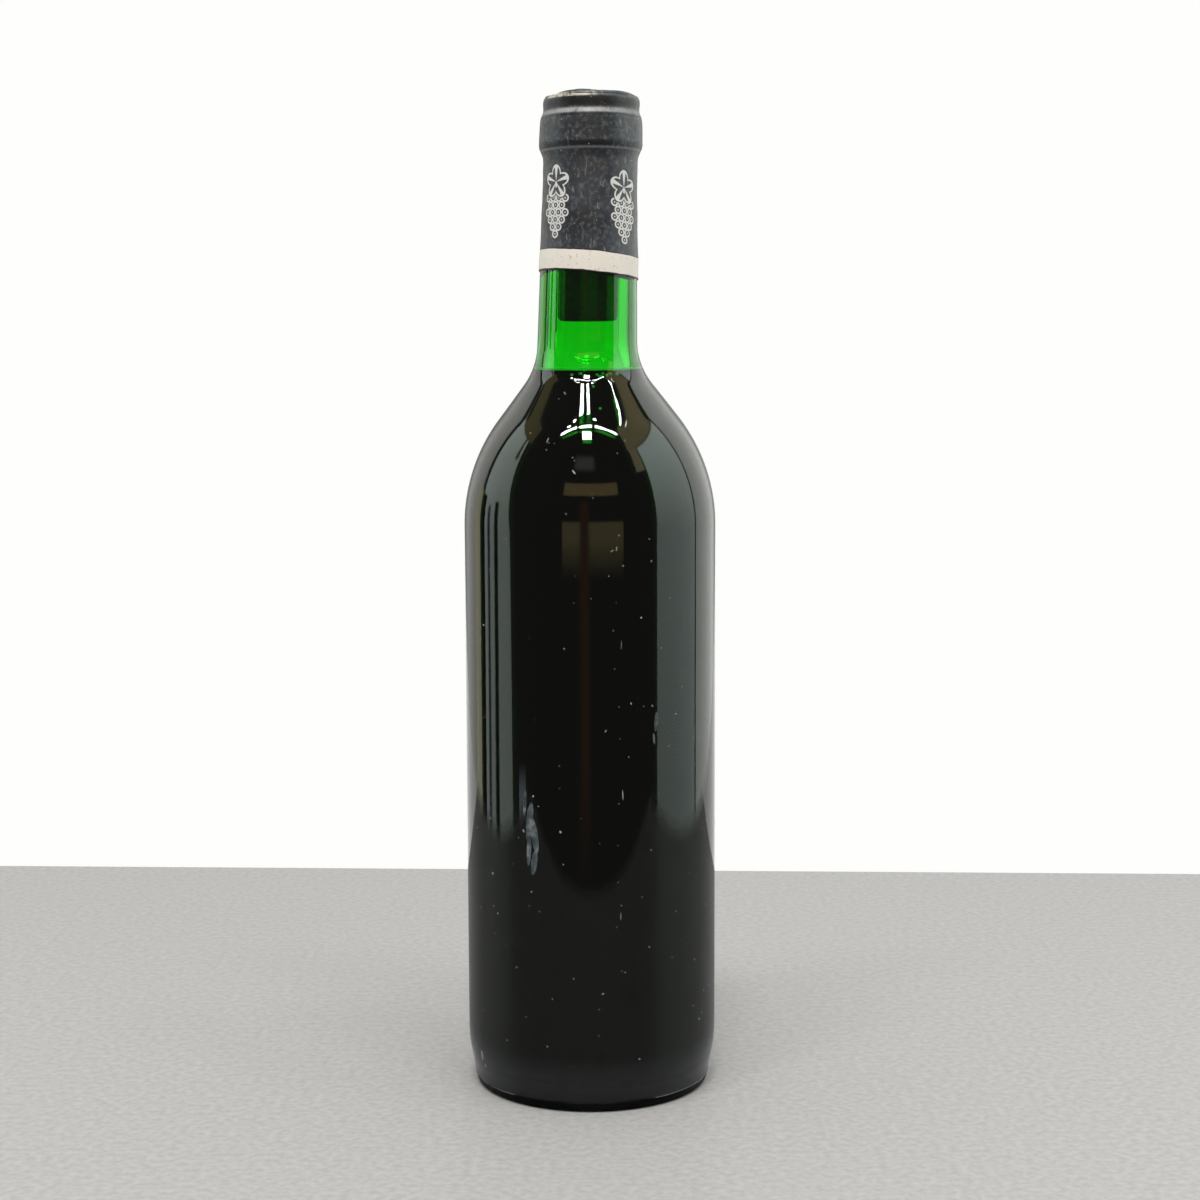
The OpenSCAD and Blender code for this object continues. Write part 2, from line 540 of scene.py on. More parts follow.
@dataclass(frozen=True)
class CapsuleFoil(Finish):
    """Matt-lacquered metal foil, spun down over the collar and printed in two pale inks.

    The eye sees soft charcoal that greys towards the sides, a cream band along the lower
    edge, four pale bunches of grapes, and dust and rubs on all that stands proud. The ledge
    and the rim carry painted highlights, the collar's underside and a line under the ledge
    painted shade, and the bluish blotches partly a painted sheen.
    """

    edge_z: float = 247.8
    slant: float = 5.0
    lift: float = 2.0
    neck_r: float = 14.5
    line_h: float = 0.55
    band_h: float = 6.3
    bunches: int = 4
    first_bunch: float = 46.2
    berry: float = 2.45
    bunch_low: float = 10.5
    bunch_h: float = 12.9
    bunch_w: float = 4.4
    leaf_z: float = 25.8
    leaf_r: float = 5.2
    name: str = "capsule_foil"

    def unrolled(self, tree: Tree) -> tuple[Source, Source, Source]:
        """Places on the foil as if it lay flat.

        Args:
            tree: The material's node tree.

        Returns:
            Degrees round the axis from the front, millimetres above the slanted lower edge,
            and millimetres above the table.
        """
        place = add(tree, "TexCoord").outputs["Object"]
        parts = add(tree, "SeparateXYZ", (place,)).outputs
        x, y, z = (add(tree, Op.DIV, (part, MM)) for part in parts)
        turn = add(tree, Op.ATAN2, (x, add(tree, Op.MUL, (y, -1.0))))
        degrees = add(tree, Op.MUL, (turn, 180 / math.pi))
        fall = add(tree, Op.MUL, (x, math.tan(math.radians(self.slant))))
        rise = add(tree, Op.MUL, (y, math.tan(math.radians(self.lift))))
        above = add(tree, Op.ADD, (add(tree, Op.ADD, (add(tree, Op.SUB, (z, self.edge_z)), fall)), rise))
        return degrees, above, z

    def span(self, tree: Tree, value: Source, low: float, high: float, soft: float) -> Source:
        """A mask that is 1 where a value lies between two limits, with soft ends.

        Args:
            tree: The material's node tree.
            value: The value.
            low: Lower limit.
            high: Upper limit.
            soft: Half the width of each end.

        Returns:
            The mask.
        """
        ends = ((low - soft, low + soft), (high + soft, high - soft))
        steps = [add(tree, "MapRange", (value, *end), interpolation_type="SMOOTHSTEP") for end in ends]
        return add(tree, Op.MUL, steps)

    def berries(self, tree: Tree, across: Source, above: Source, shift: float) -> Source:
        """Rings of one half of the bunch's staggered rows.

        Args:
            tree: The material's node tree.
            across: Millimetres to the side of the bunch's middle.
            above: Millimetres above the lower edge.
            shift: Part of a cell that this half is shifted by.

        Returns:
            A mask of the rings.
        """
        row = self.berry * math.sqrt(3)
        up = add(tree, Op.SUB, (above, self.bunch_low))
        sides, centres = [], []
        for value, pitch in ((across, self.berry), (up, row)):
            cell = add(tree, Op.ADD, (add(tree, Op.DIV, (value, pitch)), shift))
            whole = add(tree, Op.FLOOR, (add(tree, Op.ADD, (cell, 0.5)),))
            sides.append(add(tree, Op.MUL, (add(tree, Op.SUB, (cell, whole)), pitch)))
            centres.append(add(tree, Op.MUL, (add(tree, Op.SUB, (whole, shift)), pitch)))
        away = length(tree, *sides)
        ring = self.span(tree, away, self.berry * 0.30, self.berry * 0.50, 0.09)
        glint = self.span(tree, away, -1.0, self.berry * 0.10, 0.09)
        lit = add(tree, Op.MAX, (ring, glint))
        wide = add(tree, Op.MUL, (add(tree, Op.ADD, (centres[1], 1.4)), 0.48))
        half = add(tree, Op.MIN, (wide, self.bunch_w))
        inside = add(tree, Op.LESS, (add(tree, Op.ABS, (centres[0],)), half))
        rows = self.span(tree, centres[1], -0.5, self.bunch_h, 0.1)
        return add(tree, Op.MUL, (lit, add(tree, Op.MUL, (inside, rows))))

    def leaf(self, tree: Tree, across: Source, above: Source) -> tuple[Source, Source]:
        """A five-lobed vine leaf on the bunch's stalk.

        Args:
            tree: The material's node tree.
            across: Millimetres to the side of the bunch's middle.
            above: Millimetres above the lower edge.

        Returns:
            A mask of its lines, and one of all that it covers.
        """
        up = add(tree, Op.SUB, (above, self.leaf_z))
        turn = add(tree, Op.ATAN2, (across, up))
        away = length(tree, across, up)
        lobes = add(tree, Op.ABS, (add(tree, Op.COS, (add(tree, Op.MUL, (turn, 2.5)),)),))
        reach = add(tree, Op.ADD, (add(tree, Op.MUL, (lobes, self.leaf_r * 0.36)), self.leaf_r * 0.62))
        depth = add(tree, Op.SUB, (away, reach))
        outline = self.span(tree, depth, -0.65, 0.0, 0.08)
        veins = add(tree, Op.MUL, (add(tree, Op.LESS, (depth, -0.2)), add(tree, Op.MORE, (lobes, 0.93))))
        stalk = add(
            tree, Op.MUL, (self.span(tree, across, -0.35, 0.35, 0.08), self.span(tree, up, -1.6, 0.0, 0.1))
        )
        lines = add(tree, Op.MAX, (add(tree, Op.MAX, (outline, veins)), stalk))
        return lines, add(tree, Op.LESS, (depth, 0.35))

    def print_mask(self, tree: Tree, degrees: Source, above: Source) -> Source:
        """Where the bunches are printed, all round the foil.

        Args:
            tree: The material's node tree.
            degrees: Degrees round from the front.
            above: Millimetres above the lower edge.

        Returns:
            A mask of all that is printed.
        """
        step = 360 / self.bunches
        turn = add(tree, Op.ADD, (add(tree, Op.SUB, (degrees, self.first_bunch)), step / 2))
        off = add(tree, Op.SUB, (add(tree, Op.MOD, (turn, step)), step / 2))
        across = add(tree, Op.MUL, (off, math.radians(self.neck_r)))
        halves = [self.berries(tree, across, above, shift) for shift in (0.0, 0.5)]
        fruit = add(tree, Op.MAX, halves)
        line, cover = self.leaf(tree, across, above)
        bare = add(tree, Op.SUB, (1.0, cover))
        return add(tree, Op.MAX, (add(tree, Op.MUL, (fruit, bare)), line))

    def noise(self, tree: Tree, size: float, low: float, high: float, detail: float) -> Source:
        """Blotches of one size in millimetres, as a mask between two levels of the noise.

        Args:
            tree: The material's node tree.
            size: Size of a blotch.
            low: Level below which the mask is 0.
            high: Level above which it is 1.
            detail: How finely the blotches' edges break up.

        Returns:
            The mask.
        """
        place = add(tree, "TexCoord").outputs["Object"]
        cloud = add(tree, "TexNoise", {"Vector": place, "Scale": 1 / (size * MM), "Detail": detail})
        return add(tree, "MapRange", (cloud, low, high))

    def specks(self, tree: Tree, size: float, radius: float, share: float) -> Source:
        """Scattered grains of dust.

        Args:
            tree: The material's node tree.
            size: Spacing of the grains in millimetres.
            radius: Size of a grain, as a part of the spacing.
            share: Part of the places that carry a grain.

        Returns:
            A mask of the grains.
        """
        place = add(tree, "TexCoord").outputs["Object"]
        cells = add(tree, "TexVoronoi", {"Vector": place, "Scale": 1 / (size * MM)})
        near = add(tree, Op.LESS, (cells, radius))
        colour = add(tree, "SeparateXYZ", (cells.outputs["Color"],)).outputs
        return add(tree, Op.MUL, (near, add(tree, Op.LESS, (colour[0], share))))

    def scratches(self, tree: Tree) -> Source:
        """Fine slanting rubs, as the crests of a noise that is drawn out upwards.

        Args:
            tree: The material's node tree.

        Returns:
            A mask of the rubs.
        """
        place = add(tree, "TexCoord").outputs["Object"]
        drawn = add(
            tree, "Mapping", {"Vector": place, "Rotation": (0.3, 0.5, 0.0), "Scale": (1.0, 1.0, 0.16)}
        )
        cloud = add(tree, "TexNoise", {"Vector": drawn, "Scale": 1 / (0.8 * MM), "Detail": 1.0})
        crest = self.span(tree, cloud, 0.66, 0.70, 0.01)
        return add(tree, Op.MUL, (crest, self.noise(tree, 7, 0.45, 0.6, 2.0)))

    def ledge_wear_and_highlight(self, tree: Tree, degrees: Source, height: Source) -> Source:
        """The collar's upper ledge, pale where worn to bright metal and where a painted highlight lies,
        brightest at the front.

        Args:
            tree: The material's node tree.
            degrees: Degrees round from the front.
            height: Millimetres above the table.

        Returns:
            A mask of the bright metal.
        """
        ledge = self.span(tree, height, 294.7, 296.0, 0.4)
        front = self.span(tree, degrees, -40.0, 25.0, 45.0)
        rub_and_highlight = add(tree, Op.ADD, (add(tree, Op.MUL, (front, 0.6)), 0.3))
        return add(tree, Op.MUL, (add(tree, Op.MUL, (ledge, rub_and_highlight)), self.noise(tree, 3, 0.25, 0.5, 3.0)))

    def rim_wear_and_highlight(self, tree: Tree, degrees: Source, height: Source) -> Source:
        """The rim's rolled edge at the front left, pale where handling has worn the lacquer off and where a
        painted highlight lies.

        Args:
            tree: The material's node tree.
            degrees: Degrees round from the front.
            height: Millimetres above the table.

        Returns:
            A mask of the bare edge.
        """
        rim = self.span(tree, height, 299.4, 300.6, 0.2)
        front = self.span(tree, degrees, -62.0, 8.0, 6.0)
        return add(tree, Op.MUL, (add(tree, Op.MUL, (rim, front)), self.noise(tree, 1.6, 0.3, 0.5, 3.0)))

    def band_stains(self, tree: Tree, edge: Source) -> Source:
        """Brown specks on the cream band."""
        band = self.span(tree, edge, self.line_h, self.band_h, 0.06)
        spots = add(tree, Op.MAX, (self.specks(tree, 0.9, 0.2, 0.16), self.noise(tree, 0.9, 0.62, 0.8, 2.0)))
        return add(tree, Op.MUL, (band, spots))

    def shaders(self, tree: Tree) -> dict[str, Source]:
        """Adds the finish's nodes.

        Args:
            tree: The material's node tree.

        Returns:
            What goes to the output's sockets.
        """
        degrees, above, height = self.unrolled(tree)
        waver = self.noise(tree, 5, 0.3, 0.7, 2.0)
        edge = add(tree, Op.ADD, (above, add(tree, Op.MUL, (waver, 0.25))))
        # The rim's pale edge: partly wear, partly a painted highlight
        top = self.rim_wear_and_highlight(tree, degrees, height)
        layers: list[tuple[Source, str, float]] = [
            # Bluish-grey blotches: partly the lacquer's uneven tone, partly a painted sheen for the foil's
            # soft wavy highlights
            (self.noise(tree, 10, 0.42, 0.68, 4.0), "383c43", 0.7),
            (self.noise(tree, 6.1, 0.52, 0.75, 3.0), "43403a", 0.5),
            (self.noise(tree, 1.3, 0.50, 0.72, 5.0), "696a69", 0.5),
            # Painted shade: a darker band on the underside of the collar's bulge
            (self.span(tree, height, 284.9, 286.6, 0.5), "0e0f11", 0.8),
            # Painted shade: a dark line under the ledge
            (self.span(tree, height, 293.7, 294.5, 0.25), "0a0a0b", 0.8),
            (self.scratches(tree), "8d8f90", 0.5),
            # Partly wear, partly a painted highlight: the ledge is pale, most of all at the front
            (self.ledge_wear_and_highlight(tree, degrees, height), "c9c7c1", 0.62),
            (self.span(tree, height, 284.2, 284.8, 0.25), "77787a", 0.6),
            (self.span(tree, height, 296.5, 299.3, 0.3), "131112", 0.8),
            (top, "b5ab9b", 0.9),
            (self.specks(tree, 0.8, 0.15, 0.14), "8f8d87", 0.75),
            (self.specks(tree, 2.1, 0.08, 0.30), "b9b6ae", 0.85),
            (self.print_mask(tree, degrees, above), "cfcec8", 0.95),
            (self.span(tree, edge, self.line_h, self.band_h, 0.06), "d9d2c6", 1.0),
            (self.band_stains(tree, edge), "8d7b66", 0.75),
            (self.span(tree, edge, self.band_h, self.band_h + 0.35, 0.08), "0c0c0d", 0.7),
            (self.span(tree, edge, -2.0, self.line_h, 0.06), "0b0c0c", 1.0),
        ]
        hue = add(tree, "RGB")
        hue.outputs[0].default_value = srgb("25282d")
        colour = hue
        for mask, code, strength in layers:
            share = add(tree, Op.MUL, (mask, strength))
            colour = add(tree, "Mix", {0: share, "A": colour, "B": srgb(code)}, data_type="RGBA")
        grain = add(
            tree,
            "Bump",
            {"Height": self.noise(tree, 1.2, 0.3, 0.7, 5.0), "Strength": 0.25, "Distance": 0.05 * MM},
        )
        lacquer = add(
            tree,
            "BsdfPrincipled",
            {"Base Color": colour, "Roughness": 0.42, "Specular IOR Level": 0.5, "Normal": grain},
        )
        return {"Surface": lacquer}


# ---------------------------------------------------------------- the bottle's pieces


def install(piece: bpy.types.Object, material: bpy.types.Material, node: str) -> None:
    """Dresses a finished piece and ties it to the frame.

    Args:
        piece: The piece, with its place in its mesh.
        material: Its finish.
        node: The CAD node that it stands for.
    """
    piece.data.materials.clear()
    piece.data.materials.append(material)
    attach(piece, ROOT)
    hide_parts(node)
    log.info("%s: %d faces", piece.name, len(piece.data.polygons))


@dataclass
class GlassBottle:
    """The bottle itself: body, shoulder, neck, collar and lip, hollow to its real wall."""

    measures: Measures
    wall: float = 3.0
    base_t: float = 6.5
    punt_h: float = 22.0
    shoulder_z: float = 172.6
    shoulder_r: float = 53.4
    slope: float = 37.5
    neck_foot_r: float = 15.1
    blend_r: float = 21.0
    inner_blend_r: float = 26.0
    inner_shoulder_r: float = 50.2
    heel_r: float = 36.0
    heel_angle: float = 11.5
    heel_z: float = 17.0
    corner_r: float = 1.6
    ring_w: float = 1.8
    seam_z: float = 2.9
    seam_h: float = 0.22
    seam_w: float = 0.3
    inner_heel_r: float = 5.2
    finish: tuple[Point, ...] = ((13.9, 17.2), (14.9, 15.0), (15.4, 13.8), (15.0, 6.6), (14.15, 4.6))
    lip_round: float = 1.5
    mouth_round: float = 1.0
    sides: int = 192
    longest: float = 4.0

    def punt(self, radius: float, width: float) -> float:
        """Height of the hollow under the base at a radius."""
        return self.punt_h * (1 + math.cos(math.pi * radius / width)) / 2

    def shoulder(self, low_r: float, low_curve: float, high_r: float, high_curve: float) -> list[Point]:
        """Points from the body's wall up over the shoulder to the neck.

        Args:
            low_r: Radius of the body's wall.
            low_curve: Radius of the shoulder's curve.
            high_r: Radius of the neck's wall.
            high_curve: Radius of the curve into the neck.

        Returns:
            The points, lowest first.
        """
        a = math.radians(self.slope)
        run = low_r - high_r - (low_curve + high_curve) * (1 - math.cos(a))
        top = self.shoulder_z + (low_curve + high_curve) * math.sin(a) + run / math.tan(a)
        lower = arc((low_r - low_curve, self.shoulder_z), low_curve, 0, self.slope, 22)
        upper = arc((high_r + high_curve, top), high_curve, 180 + self.slope, 180, 18)
        return lower + upper

    def inner_r(self) -> float:
        """Radius of the cavity in the body."""
        return self.measures.body_r - self.wall

    def cavity(self) -> list[Point]:
        """Inside of the glass, from the middle of its floor up to the bore.

        Returns:
            The points, lowest first.
        """
        floor_r = self.inner_r() - self.inner_heel_r
        floor = [
            (max(floor_r * i / 14, POLE_R), self.base_t + self.punt(floor_r * i / 14, floor_r))
            for i in range(15)
        ]
        heel = arc((floor_r, self.base_t + self.inner_heel_r), self.inner_heel_r, -90, 0, 8)
        wall = self.shoulder(
            self.inner_r(), self.inner_shoulder_r, self.measures.bore_r, self.inner_blend_r
        )
        return floor + heel[1:] + wall

    def outside(self) -> list[Point]:
        """Outside of the glass, from the middle of the hollow base up to the lip.

        Returns:
            The points, lowest first.
        """
        a = math.radians(self.heel_angle)
        cone_r = self.measures.body_r - self.heel_r * (1 - math.cos(a))
        cone_z = self.heel_z - self.heel_r * math.sin(a)
        corner_x = cone_r - (cone_z - self.corner_r) * math.tan(a) - self.corner_r / math.cos(a)
        ring_r = corner_x - self.ring_w
        hollow = [(max(ring_r * i / 16, POLE_R), self.punt(ring_r * i / 16, ring_r)) for i in range(17)]
        corner = arc((corner_x, self.corner_r), self.corner_r, -90, -self.heel_angle, 8)
        seam = [
            (corner[-1][0] + (z - corner[-1][1]) * math.tan(a) + proud, z)
            for z, proud in (
                (self.seam_z - self.seam_w, 0.0),
                (self.seam_z, self.seam_h),
                (self.seam_z + self.seam_w, 0.0),
            )
        ]
        heel = arc((self.measures.body_r - self.heel_r, self.heel_z), self.heel_r, -self.heel_angle, 0, 8)
        body = self.shoulder(self.measures.body_r, self.shoulder_r, self.neck_foot_r, self.blend_r)
        collar = [(radius, self.measures.height - down) for radius, down in self.finish]
        lip_r = collar[-1][0] - self.lip_round
        lip = arc((lip_r, self.measures.height - self.lip_round), self.lip_round, 0, 90, 6)
        return hollow + corner + seam + heel + body + collar + lip

    def build(self) -> None:
        """Models the glass as one closed solid."""
        mouth = arc(
            (self.measures.bore_r + self.mouth_round, self.measures.height - self.mouth_round),
            self.mouth_round,
            90,
            180,
            5,
        )
        outline = filled_in(self.outside() + mouth + self.cavity()[::-1], self.longest)
        piece = turned("bottle_glass_shell", outline, self.sides)
        Ripple("mould_wave", size=34, depth=0.026).add_to(piece)
        apply_modifiers(piece)
        shade(piece, 50)
        install(piece, BottleGreenGlass().build(), "bottle_glass")


@dataclass
class WineFill:
    """The wine, a hair into the glass all round, with a curved rim at its surface."""

    bottle: GlassBottle
    reach: float = 0.12
    rim_h: float = 1.0
    rim_w: float = 1.7
    rim_power: float = 2.4
    rim_steps: int = 8
    wall_slope: float = 28.0
    sides: int = 192

    def build(self) -> None:
        """Models the wine as one closed solid."""
        top = self.bottle.measures.wine_z
        walls = [(r + self.reach, z) for r, z in self.bottle.cavity()]
        walls = [(r, z - self.reach) if z < self.bottle.base_t * 2 else (r, z) for r, z in walls]
        below = [at for at in walls if at[1] < top - self.rim_h]
        radius = below[-1][0] - (top - below[-1][1]) * math.tan(math.radians(self.wall_slope))
        level = top - self.rim_h
        shares = [i / self.rim_steps for i in range(self.rim_steps + 1)]
        rim = [(radius - self.rim_w * i, level + self.rim_h * (1 - i) ** self.rim_power) for i in shares]
        outline = filled_in(below + rim + [(POLE_R, level)], self.bottle.longest)
        piece = turned("wine_fill", outline, self.sides)
        shade(piece, 50)
        install(piece, RedWine(top).build(), "wine")


@dataclass
class CorkStopper:
    """The cork, a hair clear of the bore, with its chamfered lower edge."""

    measures: Measures
    clear: float = 0.05
    chamfer: float = 1.6
    top_w: float = 0.6
    top_h: float = 1.2
    longest: float = 1.5
    sides: int = 96

    def build(self) -> None:
        """Models the cork as one closed solid."""
        radius, low, high = self.measures.bore_r - self.clear, self.measures.cork_z, self.measures.height
        centre = (radius - self.chamfer, low + self.chamfer)
        outline = [(POLE_R, low), *arc(centre, self.chamfer, -90, 0, 5)]
        top = high - self.clear
        outline += [(radius, high - self.top_h), (radius - self.top_w, top), (POLE_R, top)]
        piece = turned("cork_stopper", filled_in(outline, self.longest), self.sides)
        Ripple("cork_grain", size=2.5, depth=-0.08, middle=0.0).add_to(piece)
        apply_modifiers(piece)
        shade(piece, 60)
        install(piece, NaturalCork().build(), "cork")


@dataclass
class Capsule:
    """The foil capsule: a skirt over collar and neck, and a creased top disc."""

    thickness: float = 0.25
    edge_z: float = 247.8
    slant: float = 5.0
    lift: float = 2.0
    sides: int = 256
    outline: tuple[Point, ...] = (
        (15.06, 245.0), (15.02, 250.0), (14.98, 252.5), (14.74, 256.0), (14.54, 261.0), (14.46, 266.5),
        (14.26, 270.0), (14.17, 276.0), (14.18, 281.4), (14.34, 282.8), (14.85, 284.1), (15.40, 285.3),
        (15.58, 286.4), (15.53, 288.5), (15.42, 291.5), (15.28, 293.4), (15.05, 294.5), (14.66, 295.4),
        (14.42, 296.1), (14.38, 297.0), (14.50, 298.2), (14.48, 299.1), (14.25, 299.9), (13.75, 300.35),
        (12.60, 300.45)
    )
    disc: tuple[Point, ...] = (
        (POLE_R, 301.5), (8.0, 301.45), (11.6, 301.3), (13.2, 301.0), (13.95, 300.6), (14.05, 300.2)
    )
    bends: tuple[Push, ...] = (
        Push(-12, 13.9, 300.5, (0.15, 0.0, 0.45), 7.0),
        Push(-62, 13.6, 300.6, (-0.5, 0.0, -0.6), 6.0),
        Push(40, 13.9, 300.5, (0.1, 0.0, 0.15), 4.0),
        Push(75, 13.9, 300.4, (-0.1, 0.0, -0.3), 5.0),
    )
    creases: tuple[Push, ...] = (
        Push(-32, 14.4, 283.0, (-0.20, 0.1, 0.0), 2.4),
        Push(8, 14.2, 280.0, (0.10, 0.0, 0.0), 2.6),
        Push(30, 14.4, 282.6, (-0.15, 0.1, 0.0), 2.2),
        Push(-8, 15.1, 294.6, (-0.16, 0.0, 0.0), 1.0),
        Push(19, 15.2, 294.3, (-0.16, 0.0, 0.0), 0.9),
        Push(-20, 14.2, 299.9, (0.10, 0.0, 0.12), 2.2),
        Push(120, 14.5, 276.0, (-0.22, 0.0, 0.0), 4.0),
        Push(200, 14.6, 268.0, (-0.20, 0.1, 0.0), 5.0),
        Push(-100, 15.5, 289.0, (-0.18, 0.0, 0.0), 3.0),
    )

    def cut_edge(self, skirt: bpy.types.Object) -> None:
        """Cuts the skirt's lower edge off along its slant, and closes the cut between its walls.

        Args:
            skirt: The skirt, longer than it is to be.
        """
        take_up(skirt)
        slant, lift = (math.tan(math.radians(angle)) for angle in (self.slant, self.lift))
        bpy.ops.object.mode_set(mode="EDIT")
        bpy.ops.mesh.select_all(action="SELECT")
        bpy.ops.mesh.bisect(plane_co=(0, 0, self.edge_z * MM), plane_no=(slant, lift, 1), clear_inner=True)
        bpy.ops.mesh.select_all(action="DESELECT")
        bpy.ops.mesh.select_non_manifold()
        bpy.ops.mesh.bridge_edge_loops()
        bpy.ops.mesh.select_all(action="SELECT")
        bpy.ops.mesh.normals_make_consistent(inside=False)
        bpy.ops.object.mode_set(mode="OBJECT")

    def build(self) -> None:
        """Models the skirt and the top disc."""
        foil = CapsuleFoil(self.edge_z, self.slant, self.lift).build()
        outer = filled_in(self.outline, 0.6)
        inner = [(r - self.thickness, z) for r, z in outer]
        skirt = turned("capsule_skirt", outer + inner[::-1], self.sides, ring=True)
        self.cut_edge(skirt)
        for crease in self.creases:
            crease.make(skirt)
        Ripple("foil_crumple", size=7, depth=0.16).add_to(skirt)
        Ripple("foil_pucker", size=2.2, depth=0.05).add_to(skirt)
        apply_modifiers(skirt)
        shade(skirt, 60)
        install(skirt, foil, "capsule")
        under = [(r, z - self.thickness) for r, z in self.disc]
        disc = turned("capsule_top", filled_in([*self.disc, *under[::-1]], 0.8), self.sides)
        for bend in self.bends:
            bend.make(disc)
        Ripple("top_crumple", size=4, depth=0.25).add_to(disc)
        apply_modifiers(disc)
        shade(disc, 60)
        install(disc, foil, "capsule")


@dataclass(frozen=True)
class MottledFilm(Finish):
    """A thin film or grain of one mottled colour: dust, dried smears, or bubbles with a painted highlight.
    """

    name: str
    mottle_mm: float
    stops: tuple[tuple[float, str], ...]
    roughness: float
    detail: float = 2.0

    def shaders(self, tree: Tree) -> dict[str, Source]:
        """Adds the finish's nodes.

        Args:
            tree: The material's node tree.

        Returns:
            What goes to the output's sockets.
        """
        place = add(tree, "TexCoord").outputs["Object"]
        scale = 1 / (self.mottle_mm * MM)
        cloud = add(tree, "TexNoise", {"Vector": place, "Scale": scale, "Detail": self.detail})
        hue = add(tree, "ValToRGB", {"Fac": cloud})
        set_stops(hue.color_ramp, [(position, srgb(code)) for position, code in self.stops])
        film = add(tree, "BsdfPrincipled", {"Base Color": hue, "Roughness": self.roughness})
        return {"Surface": film}


# House dust and fine scuffs, matt and dry: pale pinpricks, which tell that the mirror is real
DUST = MottledFilm("dust_grain", 9, ((0.35, "5f5f5a"), (0.65, "a9a8a1")), 0.9)

# Dried wipe marks, a blue-grey to tan film: a dim smear that stays while the reflections move
SMEAR = MottledFilm("wipe_mark", 3, ((0.36, "1f282c"), (0.52, "3c474c"), (0.66, "6b706c")), 0.7, 4.0)

# Bubbles that cling to the glass at the wine's edge: wet pinpoints, which the glass turns green. Their pale
# colour is a painted highlight, for the light that the bubbles reflect
BUBBLE_PAINTED_HIGHLIGHT = MottledFilm("wine_bubble", 0.6, ((0.40, "8c8a80"), (0.60, "f4f4ee")), 0.2)


@dataclass(frozen=True)
class Grain:
    """One grain, scuff or bubble: degrees round, height, two widths and how far it stands proud."""

    azimuth: float
    height: float
    across: float
    up: float
    tilt: float = 0.0
    proud: float = 0.05


